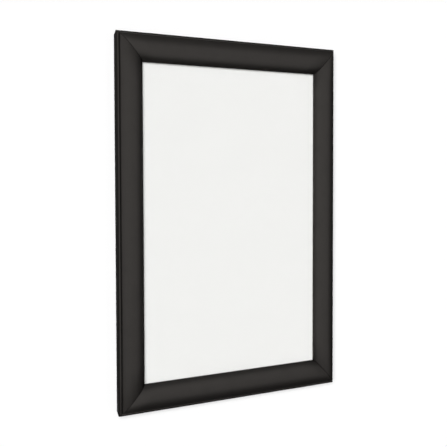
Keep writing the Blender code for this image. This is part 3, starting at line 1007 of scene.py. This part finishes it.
# %% [markdown]
# ## Sheets
#
# A sheet is a closed grid: a front and a back over the same two parameters, joined by a
# strip round the rim. Real sheets are never quite flat, so a slow ripple of a few
# hundredths of a millimetre runs over them, small enough to stay clear of what lies
# before and behind.

# %% Back panel, paper and cover
SHEET_CELLS = (42, 60)


def sheet_grid(low, high, ripple, waves, phase):
    """Front and back are at the two depths. Both are moved by the ripple times a slow
    wave, a sine across times a cosine up, and times a half sine each way, which is nought
    round the rim."""
    across, up = SHEET_CELLS
    s, t = np.meshgrid(np.linspace(0, 1, across + 1), np.linspace(0, 1, up + 1), indexing="ij")
    calm = np.sin(math.pi * s) * np.sin(math.pi * t)
    wave = ripple * calm * np.sin(math.tau * waves[0] * s + phase) * np.cos(
        math.tau * waves[1] * t + phase)
    x = low.x + (high.x - low.x) * s
    z = low.z + (high.z - low.z) * t
    front = np.stack([x, low.y + wave, z], axis=-1).reshape(-1, 3)
    back = np.stack([x, high.y + wave, z], axis=-1).reshape(-1, 3)
    number = np.arange((across + 1) * (up + 1)).reshape(across + 1, up + 1)
    cells = np.stack([number[:-1, :-1], number[1:, :-1], number[1:, 1:], number[:-1, 1:]], -1)
    cells = cells.reshape(-1, 4)
    rim = np.concatenate([number[:-1, 0], number[-1, :-1], number[:0:-1, -1], number[0, :0:-1]])
    after = np.roll(rim, -1)
    shift = number.size
    strip = np.stack([rim, rim + shift, after + shift, after], axis=-1)
    quads = np.concatenate([cells, cells[:, ::-1] + shift, strip])
    points = np.concatenate([front, back])
    corner_uv = points[quads.reshape(-1)][:, [0, 2]]
    return points, quads, np.zeros((0, 3), int), corner_uv


for name, node, slot, material, ripple, waves, phase in (
    ("polystyrene_back_panel", "back_panel", "panel_plastic", polystyrene, 4e-5, (1.5, 2), 22),
    ("bare_poster_paper", "poster_sheet", "poster_paper", paper, 6e-5, (1, 1.5), 17),
    ("matt_cover_film", "cover_sheet", "cover_plastic", film, 5e-5, (1.5, 1), 15),
):
    arrays = sheet_grid(*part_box(node), ripple, waves, phase)
    sheet = make_piece(name, *arrays, [material])
    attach(sheet, "frame")
    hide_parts(node)

# %% [markdown]
# ## Wall, floor and light
#
# The frame hangs on a white wall, so the backdrop is that wall, just behind the flat
# backs, over a pale floor. The wall only shows from the front: from behind it would hide
# the frame, so the paint's back is see-through. A little of the wall's white is its own,
# which makes it full white and still lets it take the frame's soft shadow. The floor gets
# less of the light, so more of its white is its own. A wall so close would also light the
# profiles' edges from behind, and the photograph shows those edges dark, so the metal
# doesn't see it.

# %% Stage
WALL_GAP = 0.0006
WALL_HALF = 3.0
FLOOR_DROP = 0.95
STAGE_COLOUR = "#FFFFFF"
PLAIN_WHITE = 1.15
WALL_LIT_SHARE = 0.95
FLOOR_LIT_SHARE = 0.3


def background_rays(tree):
    """One for rays that show the background, from the camera, off metal or through film,
    and nought for those that carry light."""
    path = add_node(tree, "LightPath").outputs
    seen = add_node(tree, "Math", {0: path["Is Camera Ray"], 1: path["Is Glossy Ray"]},
                    operation="MAXIMUM")
    seen = add_node(tree, "Math", {0: seen.outputs[0], 1: path["Is Transmission Ray"]},
                    operation="MAXIMUM")
    return seen.outputs[0]


def stage_piece(name, corners, faces, material):
    """A mesh from its corners and faces, which throws no shadow and no diffuse light
    on the frame."""
    mesh = bpy.data.meshes.new(name)
    mesh.from_pydata(corners, [], faces)
    mesh.materials.append(material)
    made = add_object(name, mesh)
    made.visible_shadow = False
    made.visible_diffuse = False
    made.visible_transmission = False
    return made


def show(tree, output):
    """The material's surface shows this output."""
    tree.links.new(output, tree.nodes["Material Output"].inputs["Surface"])


def white_paint(name, lit_share):
    """Matt white paint: one share of what the camera sees is the lamps' light and shadow on
    it, and the rest its own plain white. Its back faces let everything through."""
    material, tree, shader = new_material(name, Roughness=0.9)
    shader.inputs["Base Color"].default_value = linear(STAGE_COLOUR)
    shader.inputs["Specular IOR Level"].default_value = 0
    white = add_node(tree, "Emission", {"Strength": PLAIN_WHITE})
    seen = {"Value": background_rays(tree), "To Min": 0, "To Max": 1 - lit_share}
    own = add_node(tree, "MapRange", seen).outputs["Result"]
    front = add_node(tree, "MixShader", {0: own, 1: shader.outputs[0], 2: white.outputs[0]})
    clear = add_node(tree, "BsdfTransparent")
    behind = add_node(tree, "NewGeometry").outputs["Backfacing"]
    mix = add_node(tree, "MixShader", {0: behind, 1: front.outputs[0], 2: clear.outputs[0]})
    show(tree, mix.outputs[0])
    return material


floor_level = middle.z - FLOOR_DROP
wall = stage_piece("studio_wall", [
    (-WALL_HALF, WALL_GAP, floor_level), (WALL_HALF, WALL_GAP, floor_level),
    (WALL_HALF, WALL_GAP, WALL_HALF), (-WALL_HALF, WALL_GAP, WALL_HALF),
], [(0, 1, 2, 3)], white_paint("white_wall_paint", WALL_LIT_SHARE))
floor = stage_piece("studio_floor", [
    (-WALL_HALF, -WALL_HALF, floor_level), (WALL_HALF, -WALL_HALF, floor_level),
    (WALL_HALF, WALL_HALF, floor_level), (-WALL_HALF, WALL_HALF, floor_level),
], [(0, 1, 2, 3)], white_paint("white_floor_paint", FLOOR_LIT_SHARE))
wall.visible_glossy = False
floor.visible_glossy = False
print("wall", 1000 * WALL_GAP, "mm behind the frame, floor", FLOOR_DROP, "m below its middle")

# %% [markdown]
# ### Cards for the metal to mirror
#
# The room is white all round, and the metal sees it. Black metal in a white room is grey
# and flat, so a photographer puts dark cards round it and leaves an opening in front. The
# opening is then the broad sheen along each crown, and the cards are the dark shoulders
# beside it. They are darker below than above. A paler card closes the back, for the outer
# walls mirror what is behind the frame. Only the metal sees the cards.

# %% Four dark cards and a grey one behind, open in front
CARD_X = (-1.15, 2.3)
CARD_Y = (-1.8, 1.8)
CARD_Z = (-0.93, 1.05)
CARD_LEVELS = ((0.3, 0), (0.52, 0.14), (1, 0.2))
BACK_CARD_LEVEL = 0.6


def dark_card():
    """Matt card whose brightness climbs with its height: at each share of the height it
    has the grey beside it, and between two of them an even mix."""
    material, tree, _ = new_material("dark_card")
    place = add_node(tree, "TexCoord").outputs["Object"]
    level = add_node(tree, "SeparateXYZ", {0: place}).outputs["Z"]
    share = add_node(tree, "MapRange", {
        "Value": level, "From Min": middle.z + CARD_Z[0], "From Max": middle.z + CARD_Z[1],
    })
    ramp = add_node(tree, "ValToRGB", {"Fac": share.outputs["Result"]})
    ramp.color_ramp.elements.new(CARD_LEVELS[1][0])
    for stop, (height_share, grey) in zip(ramp.color_ramp.elements, CARD_LEVELS):
        stop.position = height_share
        stop.color = (grey, grey, grey, 1)
    glow = add_node(tree, "Emission", {"Color": ramp.outputs["Color"]})
    show(tree, glow.outputs[0])
    return material


def grey_card():
    """Matt card of one even grey."""
    material, tree, _ = new_material("grey_card")
    glow = add_node(tree, "Emission", {"Strength": BACK_CARD_LEVEL})
    show(tree, glow.outputs[0])
    return material


card_corners = [(x, y, middle.z + z) for x in CARD_X for y in CARD_Y for z in CARD_Z]
dark_sides = [(0, 1, 3, 2), (4, 6, 7, 5), (0, 2, 6, 4), (1, 5, 7, 3)]
side_cards = stage_piece("side_cards", card_corners, dark_sides, dark_card())
back_card = stage_piece("back_card", card_corners, [(2, 3, 7, 6)], grey_card())
side_cards.visible_camera = False
back_card.visible_camera = False
print("opening in front:", CARD_X[1] - CARD_X[0], "by", CARD_Z[1] - CARD_Z[0], "m")

# %% [markdown]
# ### Soft light
#
# The key light comes from the left, near the camera's own direction. A lamp close by would
# light the near end of the paper more than the far end, so it is a lamp without distance,
# whose rays are parallel; it is wide, so the shadow that falls to the right on the wall is
# soft. A second lamp lets the back be read from behind. Neither is mirrored in the metal.
# The room gives off a dim light and shows as plain white, to the camera, in the metal and
# through the film.

# %% Lamps and world
KEY_LAMP_PLACE = (-2.98, -3.74, 0.75)
KEY_LAMP_STRENGTH = 3.8
KEY_LAMP_WIDTH = math.radians(34)
BACK_LAMP_PLACE = (0.6, 2.2, 0.8)
BACK_LAMP_POWER = 50
BACK_LAMP_SIZE = 1.5
ROOM_LIGHT = 0.07


def studio_lamp(name, kind, place, energy):
    """A lamp that looks at the frame's middle from a place in metres off it, and isn't
    mirrored."""
    light = bpy.data.lights.new(name, kind)
    light.energy = energy
    lamp = add_object(name, light)
    lamp.location = middle + Vector(place)
    lamp.rotation_euler = (-Vector(place)).to_track_quat("-Z", "Y").to_euler()
    lamp.visible_glossy = False
    return lamp


key_lamp = studio_lamp("key_lamp", "SUN", KEY_LAMP_PLACE, KEY_LAMP_STRENGTH)
key_lamp.data.angle = KEY_LAMP_WIDTH
back_lamp = studio_lamp("back_lamp", "AREA", BACK_LAMP_PLACE, BACK_LAMP_POWER)
back_lamp.data.size = BACK_LAMP_SIZE
key_azimuth = math.atan2(-KEY_LAMP_PLACE[0], -KEY_LAMP_PLACE[1])
print("key light", round(math.degrees(key_azimuth), 1), "degrees to the left")
print("back lamp", round(Vector(BACK_LAMP_PLACE).length, 2), "m away")

world = bpy.data.worlds.new("white_studio")
scene.world = world
world.use_nodes = True
tree = world.node_tree
dim, white = (ROOM_LIGHT, ROOM_LIGHT, ROOM_LIGHT, 1), (1, 1, 1, 1)
room = add_node(tree, "Mix", {0: background_rays(tree), 6: dim, 7: white}, data_type="RGBA")
tree.links.new(room.outputs[2], tree.nodes["Background"].inputs["Color"])

# %% [markdown]
# ## Camera
#
# The camera was fitted to the edges of the frame in the photograph: it stands to the
# left of the frame and a little above its middle, nine tenths of a metre away, and looks
# slightly down through a long lens.

# %% Camera at the photograph's place
CAMERA_OFFSET = Vector((-0.51542, -0.73458, 0.04261))
CAMERA_TURN = (87.122, 0.153, -34.808)
CAMERA_LENS = 78.565
CAMERA_NEAR = 0.01
camera_data = bpy.data.cameras.new("photo_camera")
camera_data.lens = CAMERA_LENS
camera_data.clip_start = CAMERA_NEAR
camera = add_object("photo_camera", camera_data)
camera.location = middle + CAMERA_OFFSET
camera.rotation_euler = [math.radians(angle) for angle in CAMERA_TURN]
scene.camera = camera
print("camera", round(CAMERA_OFFSET.length, 3), "m from the middle, lens", CAMERA_LENS, "mm")
